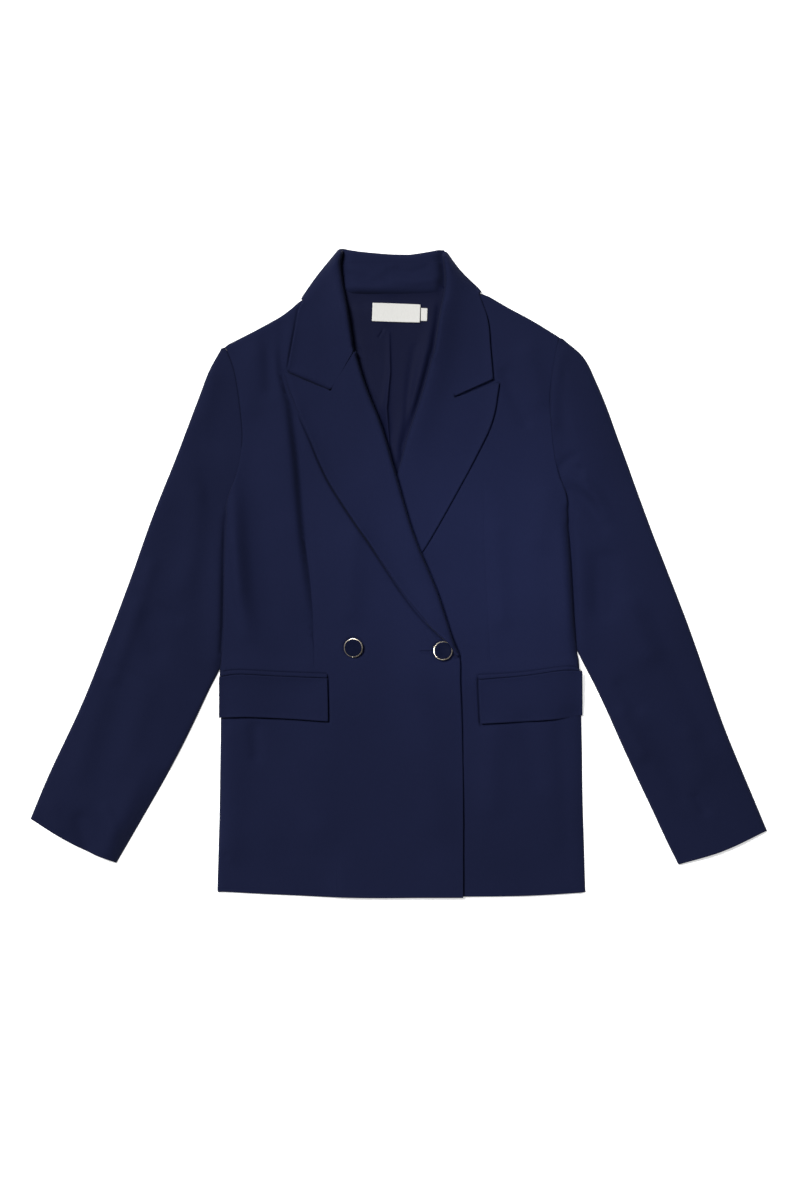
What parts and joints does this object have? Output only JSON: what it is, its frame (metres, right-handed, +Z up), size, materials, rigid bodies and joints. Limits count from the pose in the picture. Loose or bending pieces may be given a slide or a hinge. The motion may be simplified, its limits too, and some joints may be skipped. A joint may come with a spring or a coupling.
{
  "type": "double-breasted peak-lapel blazer, laid flat",
  "caption": "Navy double-breasted blazer with peaked lapels, flap pockets and gold-rimmed buttons, laid flat on its back with the sleeves angled out.",
  "frame": {"origin": "on the surface that the blazer lies on, in the middle of its outline", "axes": "+Z up out of the surface, +Y towards the collar, +X towards the wearer's left sleeve"},
  "size_m": [0.868, 0.7651, 0.0154],
  "materials": {
    "suiting": "matt navy suiting",
    "lining": "soft sheen navy twill lining",
    "label": "off-white woven satin tape",
    "button_cup": "polished pale gold",
    "button_face": "satin dark navy"
  },
  "bodies": {
    "root": {"back_right": "suiting", "back_left": "suiting", "front_right": "suiting", "front_left": "suiting", "lapel_right": "suiting", "lapel_left": "suiting", "collar": "suiting", "collar_stand": "suiting", "sleeve_right_upper": "suiting", "sleeve_right_under": "suiting", "sleeve_left_upper": "suiting", "sleeve_left_under": "suiting", "welt_right": "suiting", "welt_left": "suiting", "flap_right": "suiting", "flap_left": "suiting", "back_lining": "lining", "neck_label": "label", "size_tab": "label", "button_right_cup": "button_cup", "button_left_cup": "button_cup", "button_right_face": "button_face", "button_left_face": "button_face"}
  },
  "joints": []
}
